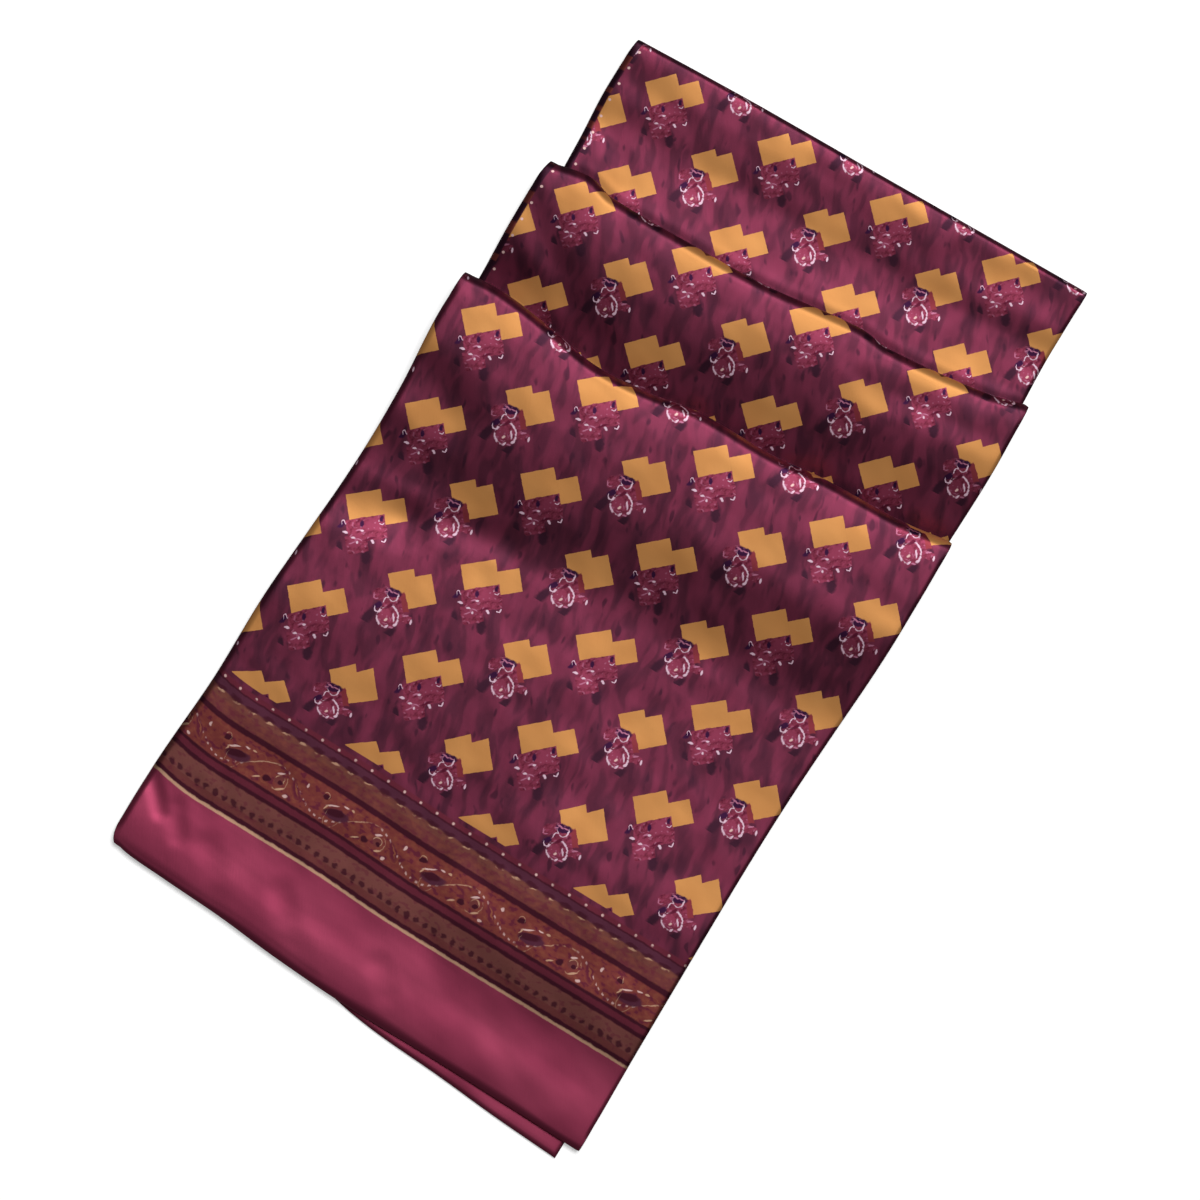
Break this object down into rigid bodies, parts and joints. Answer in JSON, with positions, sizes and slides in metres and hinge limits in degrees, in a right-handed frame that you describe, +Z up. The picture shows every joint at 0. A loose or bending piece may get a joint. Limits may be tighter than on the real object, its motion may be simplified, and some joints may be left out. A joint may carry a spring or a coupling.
{
  "type": "folded silk scarf",
  "caption": "Long double-layer silk scarf, folded double and laid back and forth in three stepped tiers, lying flat.",
  "frame": {"origin": "centre of the outline at the level of the surface that the scarf lies on", "axes": "+Y along the scarf's length, from its free ends to its folds; +Z up; +X across its width"},
  "size_m": [0.2678, 0.4803, 0.0235],
  "materials": {
    "printed_silk": "satin-woven silk, printed with plain gold squares and small roses on a brushed plum ground, with a paisley border",
    "plain_satin": "plain burgundy silk satin with a soft sheen",
    "hidden_silk": "the same printed silk, seen only at the edges of its layers"
  },
  "bodies": {
    "root": {"front_stretch": "printed_silk", "middle_stretch": "printed_silk", "back_stretch": "printed_silk", "under_end": "plain_satin", "hidden_layers": "hidden_silk"}
  },
  "joints": []
}
